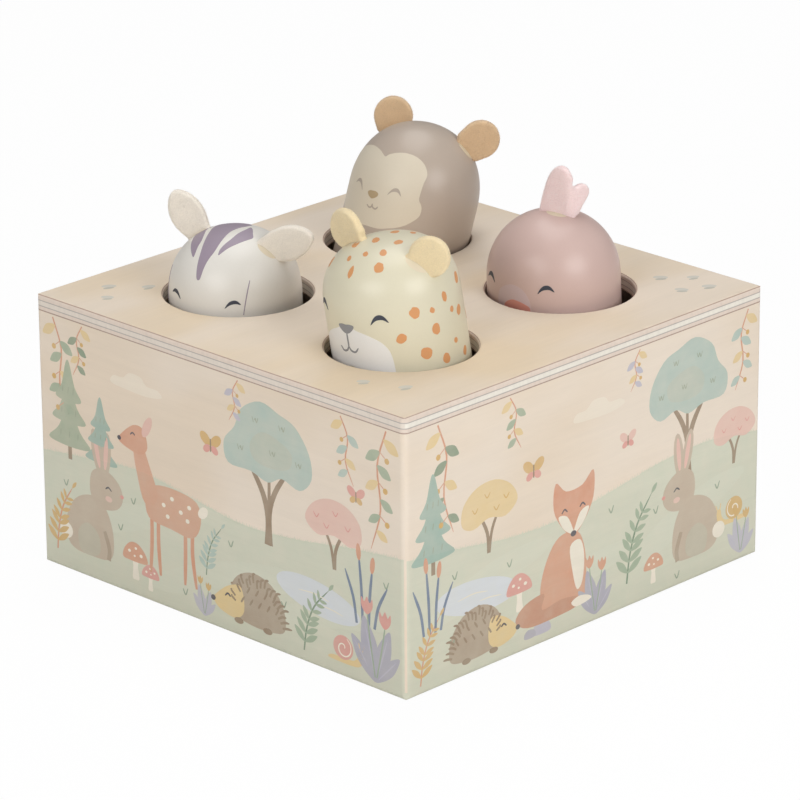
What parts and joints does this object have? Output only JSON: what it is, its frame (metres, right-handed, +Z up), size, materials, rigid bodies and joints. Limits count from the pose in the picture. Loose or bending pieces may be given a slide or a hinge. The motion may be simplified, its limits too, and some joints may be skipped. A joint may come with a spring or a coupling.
{
  "type": "pop-up animal toy",
  "caption": "Square plywood box with round holes in its top, where turned wooden animal heads with felt ears stand on coil springs and can be pushed down flush.",
  "frame": {"origin": "centre of the underside of the box", "axes": "+Z up, -Y towards the side that the animals look at, +X to their left hand"},
  "size_m": [0.155, 0.155, 0.1284],
  "materials": {
    "lid_ply": "clear matt lacquer on pale plywood",
    "printed_ply": "clear matt lacquer on pale plywood, printed",
    "base_ply": "sanded bare plywood",
    "bare_wood": "bare turned and sawn wood",
    "plug_wood": "bare pale wood",
    "steel": "plated",
    "monkey_paint": "satin taupe paint on turned wood",
    "leopard_paint": "satin cream paint on turned wood",
    "zebra_paint": "satin off-white paint on turned wood",
    "bird_paint": "satin dusty pink paint on turned wood",
    "monkey_felt": "dense tan felt",
    "leopard_felt": "dense straw-coloured felt",
    "zebra_felt": "dense cream felt",
    "crest_felt": "dense pale pink felt"
  },
  "bodies": {
    "root": {"top_panel": "lid_ply", "front_panel": "printed_ply", "back_panel": "printed_ply", "left_panel": "printed_ply", "right_panel": "printed_ply", "base_panel": "base_ply", "front_left_post": "bare_wood", "front_right_post": "bare_wood", "back_left_post": "bare_wood", "back_right_post": "bare_wood", "base_screws": "steel", "monkey_boss": "bare_wood", "leopard_boss": "bare_wood", "zebra_boss": "bare_wood", "bird_boss": "bare_wood", "monkey_spring": "steel", "leopard_spring": "steel", "zebra_spring": "steel", "bird_spring": "steel"},
    "monkey": {"monkey_head": "monkey_paint", "monkey_left_ear": "monkey_felt", "monkey_right_ear": "monkey_felt", "monkey_left_plug": "plug_wood", "monkey_right_plug": "plug_wood"},
    "leopard": {"leopard_head": "leopard_paint", "leopard_left_ear": "leopard_felt", "leopard_right_ear": "leopard_felt", "leopard_left_plug": "plug_wood", "leopard_right_plug": "plug_wood"},
    "zebra": {"zebra_head": "zebra_paint", "zebra_left_ear": "zebra_felt", "zebra_right_ear": "zebra_felt", "zebra_left_plug": "plug_wood", "zebra_right_plug": "plug_wood"},
    "bird": {"bird_head": "bird_paint", "bird_crest": "crest_felt", "bird_crest_plug": "plug_wood"}
  },
  "joints": [
    {"name": "monkey_press", "type": "slide", "parent": "root", "child": "monkey", "axis": [0.1644, 0.161, 0.9732], "range_m": [-0.0373, 0], "stiffness_N_per_m": 180, "springref_m": 0.004, "deforming": ["monkey_spring", "monkey_left_ear", "monkey_right_ear"]},
    {"name": "leopard_press", "type": "slide", "parent": "root", "child": "leopard", "axis": [-0.1007, -0.0986, 0.99], "range_m": [-0.0335, 0], "stiffness_N_per_m": 180, "springref_m": 0.004, "deforming": ["leopard_spring", "leopard_left_ear", "leopard_right_ear"]},
    {"name": "zebra_press", "type": "slide", "parent": "root", "child": "zebra", "axis": [-0.0187, -0.0183, 0.9997], "range_m": [-0.0201, 0], "stiffness_N_per_m": 180, "springref_m": 0.004, "deforming": ["zebra_spring", "zebra_left_ear", "zebra_right_ear"]},
    {"name": "bird_press", "type": "slide", "parent": "root", "child": "bird", "axis": [-0.0274, -0.0269, 0.9993], "range_m": [-0.0246, 0], "stiffness_N_per_m": 180, "springref_m": 0.004, "deforming": ["bird_spring", "bird_crest"]}
  ]
}
